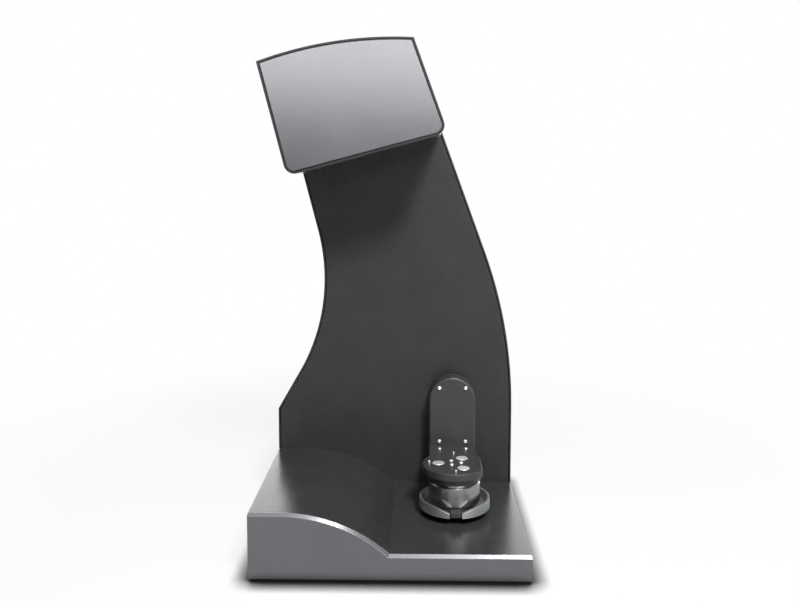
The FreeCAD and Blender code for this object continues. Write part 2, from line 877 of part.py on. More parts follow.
# Stage motor: can with bevelled rims, a neck above and a narrower foot below
can = node("stage_motor_can")
can_foot = S.tray_bottom + S.tray_floor
revolve(can, "XZ_Plane", [[
    (S.spindle_radius + S.running_gap, can_foot),
    (S.can_foot_radius, can_foot),
    (S.can_foot_radius, S.can_bottom),
    (S.can_radius - S.can_bevel, S.can_bottom),
    (S.can_radius, S.can_bottom + S.can_bevel),
    (S.can_radius, S.can_top - S.can_bevel),
    (S.can_radius - S.can_bevel, S.can_top),
    (S.can_neck_radius, S.can_top),
    (S.can_neck_radius, leg_bottom),
    (S.spindle_radius + S.running_gap, leg_bottom),
]])
place(can, x="swing_offset", y=stage_y)

# Guard tray: floor and wall round the motor, a notch in front and a wall that slants down to it
tray = node("guard_tray")
revolve(tray, "XZ_Plane", [[
    (S.spindle_radius * 2, S.tray_bottom),
    (S.tray_radius, S.tray_bottom),
    (S.tray_radius, S.tray_bottom + S.tray_height),
    (S.tray_radius - S.tray_wall, S.tray_bottom + S.tray_height),
    (S.tray_radius - 2 * S.tray_wall, S.tray_bottom + S.tray_floor),
    (S.spindle_radius * 2, S.tray_bottom + S.tray_floor),
]])
notch_half = S.tray_notch / 2
pocket(tray, "XY_Plane", [rectangle(-notch_half, -2 * S.tray_radius, notch_half, -S.can_foot_radius)],
       "tray_height + tray_floor", offset=lift(S.tray_bottom + S.tray_height))
low_z = S.tray_bottom + S.tray_low_height
high_z = S.tray_bottom + S.tray_height
slant_x = -S.tray_radius * math.sin(math.radians(S.tray_slant_angle))
pocket(tray, "XZ_Plane", [[
    (slant_x, high_z),
    (-notch_half, low_z),
    (notch_half, low_z),
    (-slant_x, high_z),
]], "tray_radius * 2", reverse=True)
place(tray, x="swing_offset", y=stage_y)

# Stage bearing in the level leg
stage_bearing = node("stage_bearing")
revolve(stage_bearing, "XZ_Plane", [[
    (S.spindle_radius + S.running_gap, leg_bottom),
    (S.stage_bearing_radius, leg_bottom),
    (S.stage_bearing_radius, leg_bottom + S.leg_seat_thick),
    (S.spindle_radius + S.running_gap, leg_bottom + S.leg_seat_thick),
]])
place(stage_bearing, x="swing_offset", y=stage_y)

# Stage disc: round with one flat, holes for magnets, pins and hub screws
disc_bottom = S.disc_top - S.disc_thick
flat_side = math.sqrt(S.disc_radius ** 2 - S.disc_flat ** 2)
pin_angles = (90, 180, 270)
magnet_angles = (60, 180, 300)
hub_angles = (0, 120, 240)
pin_spots = [polar((0, 0), S.pin_circle, angle) for angle in pin_angles]
magnet_spots = [polar((0, 0), S.magnet_circle, angle) for angle in magnet_angles]
hub_spots = [polar((0, 0), S.hub_screw_circle, angle) for angle in hub_angles]
disc = node("stage_disc")
pad(disc, "XY_Plane", [[
    (S.disc_flat, -flat_side),
    (S.disc_flat, flat_side),
    ((-S.disc_radius, 0), (S.disc_flat, -flat_side)),
]], "disc_thick")
soften(disc, "Chamfer", "disc_edge_bevel", at_level("Z", S.disc_thick))
pocket(disc, "XY_Plane", circles(magnet_spots, "magnet_radius"), "magnet_depth",
       offset=lift(S.disc_thick))
pocket(disc, "XY_Plane", circles(pin_spots, "pin_thread_radius"), "pin_length - pin_proud",
       offset=lift(S.disc_thick))
pocket(disc, "XY_Plane", circles(hub_spots, "thread_radius"), "disc_thick",
       offset=lift(S.disc_thick))
place(disc, x="swing_offset", y=stage_y, z=disc_bottom)

magnets = node("stage_magnets")
pad(magnets, "XY_Plane", circles(magnet_spots, "magnet_radius"), "magnet_depth + magnet_proud")
soften(magnets, "Chamfer", "magnet_proud * 0.9", at_level("Z", S.magnet_depth + S.magnet_proud))
place(magnets, x="swing_offset", y=stage_y, z=S.disc_top - S.magnet_depth)

# Locating pins: each stands on the disc, with a thinner thread in it
pins = node("locating_pins")
pad(pins, "XY_Plane", circles(pin_spots, "pin_radius"), "pin_proud")
soften(pins, "Chamfer", "pin_radius / 3", at_level("Z", S.pin_proud))
pad(pins, "XY_Plane", circles(pin_spots, "pin_thread_radius"), "pin_length - pin_proud", back=True)
place(pins, x="swing_offset", y=stage_y, z="disc_top")

screws("hub_screws", "XY_Plane", hub_spots, ("swing_offset", stage_y, "disc_top"), "disc_thick")

# Stage spindle: flange under the disc and shaft down through bearing and motor
spindle = node("stage_spindle")
seat_top = leg_bottom + S.leg_seat_thick
revolve(spindle, "XZ_Plane", [[
    (0, disc_bottom - S.spindle_length),
    (S.spindle_radius, disc_bottom - S.spindle_length),
    (S.spindle_radius, disc_bottom - (disc_bottom - seat_top) / 2),
    (S.spindle_flange_radius, disc_bottom - (disc_bottom - seat_top) / 2),
    (S.spindle_flange_radius, disc_bottom),
    (0, disc_bottom),
]])
place(spindle, x="swing_offset", y=stage_y)


# Swing drive: every round piece here turns about the swing axis, which runs front to back. The motor is as
# long as the room between gearbox and rear panel allows.
def turned(name, profile, start_y):
    """A round piece on the swing axis. The profile gives radius and distance behind start_y."""
    body = node(name)
    revolve(body, "XY_Plane", [profile])
    place(body, x="swing_offset", y=start_y, z="swing_height")
    return body


block_end = S.bearing_barrel_length
turned("bearing_block", [
    (S.shaft_hole_radius, 0),
    (S.bearing_flange_radius, 0),
    (S.bearing_flange_radius, S.bearing_flange_thick),
    (S.bearing_barrel_radius, S.bearing_flange_thick),
    (S.bearing_barrel_radius, block_end),
    (S.bearing_outer_radius, block_end),
    (S.bearing_outer_radius, S.bearing_flange_thick / 2),
    (S.shaft_hole_radius, S.bearing_flange_thick / 2),
], panel_back_y)


def ring(inner_radius, outer_radius, start, length):
    return [(inner_radius, start), (outer_radius, start), (outer_radius, start + length),
            (inner_radius, start + length)]


race = S.shaft_radius + S.running_gap
turned("front_swing_bearing", ring(race, S.bearing_outer_radius, 0, S.bearing_width),
       panel_back_y + S.bearing_flange_thick / 2)
turned("rear_swing_bearing", ring(race, S.bearing_outer_radius, 0, S.bearing_width),
       panel_back_y + block_end - S.bearing_width)

mount_y = panel_back_y + S.bearing_flange_thick + S.mount_post_length
shaft_end = mount_y - S.mount_plate_thick - arm_back_y
turned("swing_shaft", [
    (0, 0),
    (S.hub_radius, 0),
    (S.hub_radius, S.hub_thick),
    (S.shaft_radius, S.hub_thick),
    (S.shaft_radius, shaft_end),
    (S.output_shaft_radius, shaft_end),
    (S.output_shaft_radius, shaft_end - S.output_shaft_grip),
    (0, shaft_end - S.output_shaft_grip),
], arm_back_y)
output_start = arm_back_y + shaft_end - S.output_shaft_grip
turned("gearbox_output_shaft", [
    (0, 0),
    (S.output_shaft_radius, 0),
    (S.output_shaft_radius, S.output_shaft_length),
    (0, S.output_shaft_length),
], output_start)

post_half = S.mount_post_spacing / 2
post_spots = [(sx * post_half, sz * post_half) for sx in (-1, 1) for sz in (-1, 1)]
side_half = S.mount_plate_side / 2
mount = node("motor_mount")
pad(mount, "XZ_Plane", [
    rectangle(-side_half, -side_half, side_half, side_half),
    circle(0, 0, "shaft_radius"),
], "mount_plate_thick", back=True)
pad(mount, "XZ_Plane", circles(post_spots, "mount_post_radius"), "mount_post_length")
place(mount, x="swing_offset", y=mount_y, z="swing_height")

motor_half = S.motor_side / 2
cut = S.motor_corner
motor_loop = [
    (-motor_half + cut, -motor_half),
    (motor_half - cut, -motor_half),
    (motor_half, -motor_half + cut),
    (motor_half, motor_half - cut),
    (motor_half - cut, motor_half),
    (-motor_half + cut, motor_half),
    (-motor_half, motor_half - cut),
    (-motor_half, -motor_half + cut),
]
gearbox_y = mount_y + S.mount_plate_thick
gearbox = node("swing_gearbox")
pad(gearbox, "XZ_Plane", [motor_loop], "gearbox_length", back=True)
pocket(gearbox, "XZ_Plane", [circle(0, 0, "output_shaft_radius + running_gap")],
       "output_shaft_length - output_shaft_grip")
place(gearbox, x="swing_offset", y=gearbox_y, z="swing_height")
swing_motor = node("swing_motor")
pad(swing_motor, "XZ_Plane", [motor_loop],
    "column_depth - column_panel_thick - bearing_flange_thick - mount_post_length - mount_plate_thick"
    " - gearbox_length - motor_gap - rear_panel_thick - rear_panel_inset", back=True)
place(swing_motor, x="swing_offset", y=gearbox_y + S.gearbox_length, z="swing_height")

# Optics: shelf with a rear flange, and the projector on it
shelf_y = head_y + S.shelf_front_gap
shelf_half = camera_half + S.shelf_margin
shelf_depth = web_y - shelf_y
row_y = stage_y - shelf_y
shelf_spot = camera_half - toe_in(S.wedge_height + S.shelf_thick / 2)
shelf = node("optics_shelf")
shelf_holes = [circle(0, row_y, "projector_barrel_radius + barrel_hole_gap")]
shelf_holes += circles([(-shelf_spot, row_y), (shelf_spot, row_y)], "camera_barrel_radius + barrel_hole_gap")
pad(shelf, "XY_Plane", [rectangle(-shelf_half, 0, shelf_half, shelf_depth)] + shelf_holes, "shelf_thick")
pad(shelf, "XZ_Plane", [rectangle(-shelf_half, S.shelf_thick, shelf_half, S.shelf_flange)], "shelf_thick",
    offset=lift(-shelf_depth))
shelf.Placement = in_head(rise=S.shelf_rise, y=shelf_y)

projector = node("projector_body")
pad(projector, "XY_Plane", [rectangle(-S.projector_width / 2, -S.projector_depth / 3,
                                      S.projector_width / 2, S.projector_depth * 2 / 3)], "projector_height")
soften(projector, "Chamfer", "lens_rim", at_level("Z", S.projector_height))
projector.Placement = in_head(rise=shelf_top, y=stage_y)


def lens_barrel(name, radius, length):
    """A barrel that hangs down, with a rim and a recessed glass seat."""
    body = node(name)
    revolve(body, "XZ_Plane", [[
        (0, 0),
        (radius, 0),
        (radius, -length),
        (radius - S.lens_rim, -length),
        (radius - S.lens_rim, -length + S.lens_recess * 2),
        (0, -length + S.lens_recess * 2),
    ]])
    return body


def lens_glass(name, radius):
    """A glass disc with a bevelled rim inside the barrel's mouth."""
    body = node(name)
    rim = radius - S.lens_rim
    bevel = S.lens_recess / 2
    revolve(body, "XZ_Plane", [[
        (0, S.lens_recess),
        (rim, S.lens_recess),
        (rim, 0),
        (rim - bevel, -bevel),
        (0, -bevel),
    ]])
    return body


projector_barrel = lens_barrel("projector_barrel", S.projector_barrel_radius, S.projector_barrel_length)
projector_barrel.Placement = in_head(rise=shelf_top, y=stage_y)
projector_lens = lens_glass("projector_lens", S.projector_barrel_radius)
projector_lens.Placement = in_head(rise=shelf_top - S.projector_barrel_length + S.lens_recess, y=stage_y)

# Cameras: wedge on the shelf, body on the wedge, barrel down through both, all aimed at the stage
for side, name in ((-1, "left"), (1, "right")):
    lean = side * S.camera_angle
    half = S.camera_side / 2 + S.lens_rim
    grow = half * math.tan(math.radians(S.camera_angle)) * side
    wedge = node("camera_wedge_" + name)
    pad(wedge, "XZ_Plane", [[
        (-half, 0),
        (half, 0),
        (half, S.wedge_height - grow),
        (-half, S.wedge_height + grow),
    ]], "camera_side", back=True)
    tunnel = FreeCAD.Placement(V(0, S.camera_side / 2, S.wedge_height), FreeCAD.Rotation(V(0, 1, 0), lean))
    tunnel = tunnel * FreeCAD.Placement(V(0, 0, S.wedge_height), FreeCAD.Rotation())
    pocket(wedge, "XY_Plane", [circle(0, 0, "camera_barrel_radius + barrel_hole_gap")], "wedge_height * 3",
           offset=tunnel)
    wedge.Placement = in_head(along=side * camera_half, rise=shelf_top, y=stage_y - S.camera_side / 2)
    barrel = lens_barrel("camera_barrel_" + name, S.camera_barrel_radius, S.camera_barrel_length)
    barrel.Placement = in_head(along=side * camera_half, rise=camera_seat, y=stage_y, lean=lean)
    glass = lens_glass("camera_lens_" + name, S.camera_barrel_radius)
    tip = S.camera_barrel_length - S.lens_recess
    tip_in = tip * math.sin(math.radians(S.camera_angle))
    tip_down = tip * math.cos(math.radians(S.camera_angle))
    glass.Placement = in_head(along=side * (camera_half - tip_in), rise=camera_seat - tip_down, y=stage_y,
                              lean=lean)
    camera = node("camera_" + name)
    pad(camera, "XY_Plane", [rectangle(-S.camera_side / 2, -S.camera_side / 2, S.camera_side / 2,
                                       S.camera_side / 2)], "camera_height")
    soften(camera, "Chamfer", "lens_rim", at_level("Z", S.camera_height))
    camera.Placement = in_head(along=side * camera_half, rise=camera_seat, y=stage_y, lean=lean)

# Fan: frame on the rear panel, spider behind the rotor, seven blades on a hub
fan_y = rear_inner_y - S.fan_depth
fan_half = S.fan_side / 2
fan_bore = fan_half - S.fan_wall
fan = node("fan_frame")
pad(fan, "XZ_Plane", [rectangle(-fan_half, -fan_half, fan_half, fan_half), circle(0, 0, fan_bore)],
    "fan_depth", back=True)
spoke_reach = 2 * fan_bore + S.fan_spider
pad(fan, "XZ_Plane", [centered(0, 0, spoke_reach, S.fan_spider)], "fan_spider", back=True)
pad(fan, "XZ_Plane", [centered(0, 0, S.fan_spider, spoke_reach)], "fan_spider", back=True)
pad(fan, "XZ_Plane", [circle(0, 0, "fan_hub_radius")], "fan_spider", back=True)
pocket(fan, "XZ_Plane", [circle(0, 0, "fan_axle_radius + running_gap")], "fan_spider")


def fan_corner(edge):
    box = edge.BoundBox
    return box.XLength < 1e-4 and box.ZLength < 1e-4 and abs(abs(box.XMin) - fan_half) < 1e-4


soften(fan, "Fillet", "fan_spider", fan_corner)
place(fan, x="fan_offset", y=fan_y, z="upper_vent_height")

rotor = node("fan_rotor")
pad(rotor, "XZ_Plane", [circle(0, 0, "fan_hub_radius")], "fan_depth - 2 * fan_spider", back=True)
pad(rotor, "XZ_Plane", [circle(0, 0, "fan_axle_radius")], "fan_spider")
tip_radius = fan_bore - S.fan_tip_gap
root_radius = S.fan_hub_radius * math.cos(math.radians(S.blade_width))
mid_radius = (root_radius + tip_radius) / 2
bend = S.blade_sweep / 5
blade = [
    polar((0, 0), root_radius, -S.blade_width),
    (polar((0, 0), mid_radius, bend), polar((0, 0), tip_radius, S.blade_sweep - S.blade_width / 2)),
    arc_to((0, 0), tip_radius, S.blade_sweep - S.blade_width / 2, S.blade_sweep),
    (polar((0, 0), mid_radius, bend + S.blade_width), polar((0, 0), root_radius, S.blade_width)),
]
blade_pad = pad(rotor, "XZ_Plane", [blade], "fan_depth - 2 * fan_spider", back=True)
blades = rotor.newObject("PartDesign::PolarPattern", "fan_rotor_blades")
blades.Originals = [blade_pad]
blades.Axis = ([item for item in rotor.Origin.OriginFeatures if item.Role == "Y_Axis"][0], [""])
blades.Angle = 360
bind(blades, "Occurrences", "fan_blades")
rotor.Tip = blades
place(rotor, x="fan_offset", y=fan_y + 1.5 * S.fan_spider, z="upper_vent_height")


# Boards: laminate with components on it. Centre, width and depth are shares of the board's own sides.
CONTROLLER_PARTS = (
    (0, 0.07, 0.25, 0.19, "chip_height"),
    (-0.28, 0.3, 0.15, 0.15, "coil_height"),
    (0.28, 0.3, 0.15, 0.15, "coil_height"),
    (-0.28, -0.27, 0.22, 0.1, "chip_height"),
    (0.15, -0.3, 0.36, 0.06, "connector_height"),
)
DRIVER_PARTS = (
    (0, 0.18, 0.25, 0.18, "coil_height"),
    (-0.25, -0.18, 0.18, 0.13, "chip_height"),
    (0.25, -0.18, 0.18, 0.13, "chip_height"),
    (0, -0.38, 0.6, 0.08, "connector_height"),
)


def board(name, plane, width, height, components, back=False):
    """A board with its components. Gives the body and its hole places."""
    body = node(name)
    reach_x, reach_y = width / 2 - S.board_hole_inset, height / 2 - S.board_hole_inset
    spots = [(sx * reach_x, sy * reach_y) for sx in (-1, 1) for sy in (-1, 1)]
    outline = [centered(0, 0, width, height)] + circles(spots, "thread_radius")
    pad(body, plane, outline, "board_thick", back=back)
    for x, y, wide, deep, tall in components:
        pad(body, plane, [centered(x * width, y * height, wide * width, deep * height)], tall, back=back)
    return body, spots


controller, controller_spots = board("controller_board", "XY_Plane", S.board_width, S.board_depth,
                                     CONTROLLER_PARTS)
place(controller, x=board_x, y="board_center_y", z=deck_z + S.board_rise)
controller_posts = node("controller_standoffs")
pad(controller_posts, "XY_Plane", circles(controller_spots, "standoff_radius"), "board_rise")
place(controller_posts, x=board_x, y="board_center_y", z=deck_z)

driver, driver_spots = board("driver_board", "XZ_Plane", S.driver_width, S.driver_height, DRIVER_PARTS,
                             back=True)
place(driver, x="driver_center_x", y=web_y + S.frame_sheet + S.board_rise, z="driver_center_height")
driver_posts = node("driver_standoffs")
pad(driver_posts, "XZ_Plane", circles(driver_spots, "standoff_radius"), "board_rise", back=True)
place(driver_posts, x="driver_center_x", y=web_y + S.frame_sheet, z="driver_center_height")

# Rear panel posts, each with a threaded hole, and the screws in them
posts = node("rear_panel_posts")
pad(posts, "XZ_Plane", circles(rear_spots, "standoff_radius"),
    "column_depth - frame_setback - frame_sheet - rear_panel_inset - rear_panel_thick", back=True)
pocket(posts, "XZ_Plane", circles(rear_spots, "thread_radius"), "screw_bite", reverse=True,
       offset=lift(web_y + S.frame_sheet - rear_inner_y))
place(posts, y=web_y + S.frame_sheet)
screws("rear_panel_screws", "XZ_Plane", rear_spots, (0, rear_outer_y, 0), "rear_panel_thick + screw_bite",
       facing_back=True)

# Ports: switch bezel with rocker, power jack and data socket
cut_wide, cut_high = S.switch_cut_width, S.switch_cut_height
mouth_wide, mouth_high = cut_wide - 2 * S.bezel_wall, cut_high - 2 * S.bezel_wall
bezel = node("switch_bezel")
pad(bezel, "XZ_Plane", [centered(0, 0, cut_wide + 2 * S.bezel_lip, cut_high + 2 * S.bezel_lip)],
    "rear_panel_thick", back=True)
pad(bezel, "XZ_Plane", [centered(0, 0, cut_wide, cut_high)], "switch_depth")
pocket(bezel, "XZ_Plane", [centered(0, 0, mouth_wide, mouth_high)], "switch_depth", reverse=True,
       offset=lift(-S.rear_panel_thick))
pin_holes = [circle(-S.rocker_pivot_inset, 0, "rocker_pin_radius + running_gap")]
pocket(bezel, "YZ_Plane", pin_holes, "switch_cut_width - 2 * bezel_wall + 2 * rocker_pin_bite",
       offset=lift(mouth_wide / 2 + S.rocker_pin_bite))
place(bezel, x="switch_offset", y=rear_outer_y, z="port_height")

rocker = node("power_rocker")
rocker_wide = mouth_wide - 2 * S.rocker_gap
pin_span = mouth_wide + 2 * S.rocker_pin_bite - 2 * S.running_gap
pad(rocker, "YZ_Plane", [[
    (-S.rocker_base, -S.rocker_half_height + S.rocker_crest / 2),
    (S.rocker_crest, -S.rocker_half_height),
    ((S.rocker_dip, 0), (S.rocker_crest, S.rocker_half_height)),
    (-S.rocker_base, S.rocker_half_height - S.rocker_crest / 2),
]], "switch_cut_width - 2 * bezel_wall - 2 * rocker_gap", offset=lift(-rocker_wide / 2))
pad(rocker, "YZ_Plane", [circle(0, 0, "rocker_pin_radius")],
    "switch_cut_width - 2 * bezel_wall + 2 * rocker_pin_bite - 2 * running_gap", offset=lift(-pin_span / 2))
place(rocker, x="switch_offset", y=rear_outer_y - S.rocker_pivot_inset, z="port_height", axis=V(1, 0, 0),
      angle=-S.rocker_lean)

jack = node("power_jack")
jack_lip = S.jack_radius + S.jack_lip
revolve(jack, "XY_Plane", [[
    (0, -S.jack_depth),
    (S.jack_radius, -S.jack_depth),
    (S.jack_radius, 0),
    (jack_lip, 0),
    (jack_lip, S.rear_panel_thick),
    (S.jack_bore_radius, S.rear_panel_thick),
    (S.jack_bore_radius, -S.jack_bore_depth),
    (S.jack_pin_radius, -S.jack_bore_depth),
    (S.jack_pin_radius, 0),
    (0, 0),
]])
place(jack, x="jack_offset", y=rear_outer_y, z="port_height")

usb = node("usb_socket")
pad(usb, "XZ_Plane", [centered(0, 0, S.usb_width, S.usb_height)], "usb_depth")
pocket(usb, "XZ_Plane", [centered(0, 0, S.usb_width - 2 * S.usb_wall, S.usb_height - 2 * S.usb_wall)],
       "usb_mouth_depth", reverse=True)
pad(usb, "XZ_Plane", [centered(0, 0, S.usb_tongue_width, S.usb_tongue_height)], "usb_mouth_depth")
place(usb, x="usb_offset", y=rear_outer_y, z="port_height")

# Check every object, then write one file per node
doc.recompute()
for thing in doc.Objects:
    if "Invalid" in thing.State or "Error" in thing.State:
        raise RuntimeError(thing.Label + " failed: " + str(thing.State))
for thing in NODES:
    if thing.Shape.isNull() or not thing.Shape.isValid():
        raise RuntimeError(thing.Label + " has a bad shape")
os.makedirs("parts", exist_ok=True)
for thing in NODES:
    thing.Shape.exportStep("parts/" + thing.Label + ".step")
print(len(NODES), "nodes written")
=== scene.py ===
import json
import math
import bmesh
import bpy
from mathutils import Matrix, Vector


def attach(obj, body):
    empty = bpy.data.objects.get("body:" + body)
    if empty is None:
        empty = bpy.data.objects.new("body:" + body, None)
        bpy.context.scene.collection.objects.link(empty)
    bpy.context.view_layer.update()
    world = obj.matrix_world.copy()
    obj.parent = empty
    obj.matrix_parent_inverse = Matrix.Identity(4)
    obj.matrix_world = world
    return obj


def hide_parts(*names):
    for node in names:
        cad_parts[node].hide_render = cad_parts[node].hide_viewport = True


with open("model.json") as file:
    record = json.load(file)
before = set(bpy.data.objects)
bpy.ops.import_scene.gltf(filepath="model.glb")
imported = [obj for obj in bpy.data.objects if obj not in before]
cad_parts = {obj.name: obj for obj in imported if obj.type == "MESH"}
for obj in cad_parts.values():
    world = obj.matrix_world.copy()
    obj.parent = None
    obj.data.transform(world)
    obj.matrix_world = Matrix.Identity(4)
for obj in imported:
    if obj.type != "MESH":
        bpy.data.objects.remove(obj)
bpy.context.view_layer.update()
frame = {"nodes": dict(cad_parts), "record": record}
scene = bpy.context.scene
MM = 0.001


# Camera: the photograph's place, pitch and lens
CAMERA_PLACE = Vector((0.027, -0.981, 0.4376))
CAMERA_PITCH = math.radians(84.91)
CAMERA_TURN = math.radians(1.11)
CAMERA_LENS = 37
CAMERA_SENSOR = 36
CAMERA_SHIFT = -0.075
CAMERA_NEAR = 0.05
CAMERA_FAR = 100

camera_data = bpy.data.cameras.new("camera")
camera_data.lens = CAMERA_LENS
camera_data.sensor_width = CAMERA_SENSOR
camera_data.shift_y = CAMERA_SHIFT
camera_data.clip_start = CAMERA_NEAR
camera_data.clip_end = CAMERA_FAR
camera = bpy.data.objects.new("camera", camera_data)
camera.location = CAMERA_PLACE
camera.rotation_euler = (CAMERA_PITCH, 0, CAMERA_TURN)
scene.collection.objects.link(camera)
scene.camera = camera
scene.view_settings.view_transform = "Standard"


# Helpers for materials. All of them work in object coordinates, in metres.
BEVEL_SAMPLES = 4
# The next four values lighten the paint on sharp edges: partly wear, partly a painted edge highlight.
EDGE_WEAR_AND_HIGHLIGHT_WIDTH = 0.0006
EDGE_WEAR_AND_HIGHLIGHT_AMOUNT = 0.35
EDGE_WEAR_AND_HIGHLIGHT_GAIN = 2.6
EDGE_WEAR_AND_HIGHLIGHT_LIFT = 0.02
FLAT_FROM = 0.995
FOLD_FROM = 0.7
CLOUD_SIZE = 0.045
SPECK_SIZE = 0.0028
PEEL_GLOSS = 0.03
SCRATCH_SIZE = 0.0004
SMUDGE_SIZE = 0.012
DUST_SIZE = 0.02
DUST_COLOR = 0.02


def new_material(name):
    made = bpy.data.materials.new(name)
    made.use_nodes = True
    tree = made.node_tree
    return made, tree, tree.nodes["Principled BSDF"]


def add(tree, kind, settings=None, **inputs):
    """A node. An input is a number, a colour, or another node's output."""
    made = tree.nodes.new(kind)
    for key, value in (settings or {}).items():
        setattr(made, key, value)
    for key, value in inputs.items():
        socket = made.inputs[int(key[1:])] if key[0] == "i" and key[1:].isdigit() else made.inputs[key]
        if isinstance(value, bpy.types.NodeSocket):
            tree.links.new(value, socket)
        else:
            socket.default_value = value
    return made


def place_of(tree, stretch=(1, 1, 1)):
    """Object coordinates, stretched along the axes."""
    coordinates = add(tree, "ShaderNodeTexCoord")
    mapping = add(tree, "ShaderNodeMapping", Vector=coordinates.outputs["Object"], Scale=stretch)
    return mapping.outputs["Vector"]


def noise(tree, place, size, detail=3.0):
    """Noise with cells of about that size, in metres."""
    made = add(tree, "ShaderNodeTexNoise", Vector=place, Scale=1 / size, Detail=detail, Roughness=0.55)
    return made.outputs["Fac"]


def remap(tree, source, low, high, start=0.3, end=0.7):
    """A value from start to end, turned into one from low to high."""
    made = add(tree, "ShaderNodeMapRange", Value=source)
    made.inputs["From Min"].default_value = start
    made.inputs["From Max"].default_value = end
    made.inputs["To Min"].default_value = low
    made.inputs["To Max"].default_value = high
    return made.outputs["Result"]


def combine(tree, operation, a, b):
    return add(tree, "ShaderNodeMath", {"operation": operation}, i0=a, i1=b).outputs[0]


def tint(tree, amount, low, high):
    """A colour between two, by an amount from 0 to 1."""
    made = add(tree, "ShaderNodeMix", {"data_type": "RGBA"}, i0=amount)
    made.inputs[6].default_value = (*low, 1)
    made.inputs[7].default_value = (*high, 1)
    return made.outputs[2]


def worn_and_highlit_edges(tree, width):
    """Mask for worn edges and for a painted edge highlight: 1 on sharp outer and inner edges, 0 on flat
    ground.
    """
    rounded = add(tree, "ShaderNodeBevel", {"samples": BEVEL_SAMPLES}, Radius=width)
    plain = add(tree, "ShaderNodeNewGeometry")
    alike = add(tree, "ShaderNodeVectorMath", {"operation": "DOT_PRODUCT"}, i0=rounded.outputs["Normal"],
                i1=plain.outputs["Normal"])
    return remap(tree, alike.outputs["Value"], 1.0, 0.0, start=FOLD_FROM, end=FLAT_FROM)


def rough_ground(tree, shader, height, depth, edge=0.0004):
    """Bump over edges that are rounded in the shading."""
    rounded = add(tree, "ShaderNodeBevel", {"samples": BEVEL_SAMPLES}, Radius=edge)
    bump = add(tree, "ShaderNodeBump", Height=height, Distance=depth, Strength=1.0,
               Normal=rounded.outputs["Normal"])
    tree.links.new(bump.outputs["Normal"], shader.inputs["Normal"])


def powder_coat(name, color, roughness, clouds, metallic=0.0, gloss_level=0.5, grain=0.0011, depth=0.00006):
    """Baked powder paint: a fine orange-peel grain, cloudy gloss, and edges lightened partly as wear and
    partly as a painted edge highlight.
    """
    made, tree, shader = new_material(name)
    place = place_of(tree)
    fine = noise(tree, place, grain, detail=2)
    cloud = noise(tree, place, CLOUD_SIZE, detail=4)
    speck = noise(tree, place, SPECK_SIZE, detail=2)
    dark = tuple((1 - clouds) * c for c in color)
    light = tuple((1 + clouds) * c for c in color)
    ground = tint(tree, remap(tree, cloud, 0, 1), dark, light)
    specked = add(tree, "ShaderNodeMix", {"data_type": "RGBA", "blend_type": "MULTIPLY"}, i0=1.0, i6=ground,
                  i7=tint(tree, remap(tree, speck, 0, 1), (1 - clouds,) * 3, (1 + clouds,) * 3))
    # Sharp edges are lightened here: partly wear, partly a painted edge highlight.
    edge = combine(tree, "MULTIPLY", worn_and_highlit_edges(tree, EDGE_WEAR_AND_HIGHLIGHT_WIDTH), EDGE_WEAR_AND_HIGHLIGHT_AMOUNT)
    worn_and_highlit = add(tree, "ShaderNodeMix", {"data_type": "RGBA"}, i0=edge, i6=specked.outputs[2])
    worn_and_highlit.inputs[7].default_value = (*(min(1, EDGE_WEAR_AND_HIGHLIGHT_GAIN * c + EDGE_WEAR_AND_HIGHLIGHT_LIFT) for c in color), 1)
    tree.links.new(worn_and_highlit.outputs[2], shader.inputs["Base Color"])
    gloss = combine(tree, "ADD", remap(tree, cloud, roughness * (1 - clouds), roughness * (1 + clouds)),
                    remap(tree, fine, -PEEL_GLOSS, PEEL_GLOSS))
    tree.links.new(gloss, shader.inputs["Roughness"])
    shader.inputs["Metallic"].default_value = metallic
    shader.inputs["Specular IOR Level"].default_value = gloss_level
    rough_ground(tree, shader, fine, depth)
    return made


def drawn_metal(name, color, roughness, stretch, depth=0.000015):
    """Metal with fine marks of the tool along one direction."""
    made, tree, shader = new_material(name)
    marks = noise(tree, place_of(tree, stretch), SCRATCH_SIZE, detail=2)
    cloud = noise(tree, place_of(tree), SMUDGE_SIZE, detail=3)
    low = tuple(0.86 * c for c in color)
    high = tuple(min(1, 1.1 * c) for c in color)
    soiled = combine(tree, "MULTIPLY", marks, cloud)
    ground = tint(tree, remap(tree, soiled, 0, 1, start=0.15, end=0.4), low, high)
    tree.links.new(ground, shader.inputs["Base Color"])
    tree.links.new(remap(tree, marks, roughness - 0.05, roughness + 0.07), shader.inputs["Roughness"])
    shader.inputs["Metallic"].default_value = 1.0
    rough_ground(tree, shader, marks, depth, edge=0.0003)
    return made


def moulded(name, color, roughness, grain=0.0005, depth=0.00003):
    """Moulded plastic or rubber with a fine grain and faint dust."""
    made, tree, shader = new_material(name)
    place = place_of(tree)
    fine = noise(tree, place, grain, detail=2)
    dust = noise(tree, place, DUST_SIZE, detail=5)
    dusty = tuple(c + DUST_COLOR for c in color)
    ground = tint(tree, remap(tree, dust, 0, 1, start=0.45, end=0.75), color, dusty)
    tree.links.new(ground, shader.inputs["Base Color"])
    tree.links.new(remap(tree, dust, roughness - 0.05, roughness + 0.08), shader.inputs["Roughness"])
    rough_ground(tree, shader, fine, depth, edge=0.0003)
    return made


def coated_glass(name):
    """Dark lens glass with a faint violet coating and a few smears."""
    made, tree, shader = new_material(name)
    smear = noise(tree, place_of(tree, (1, 3, 1)), 0.006, detail=4)
    ground = tint(tree, remap(tree, smear, 0, 1), (0.006, 0.006, 0.012), (0.012, 0.010, 0.022))
    tree.links.new(ground, shader.inputs["Base Color"])
    tree.links.new(remap(tree, smear, 0.03, 0.09), shader.inputs["Roughness"])
    shader.inputs["IOR"].default_value = 1.7
    shader.inputs["Coat Weight"].default_value = 0.6
    shader.inputs["Coat Tint"].default_value = (0.7, 0.72, 1.0, 1)
    return made


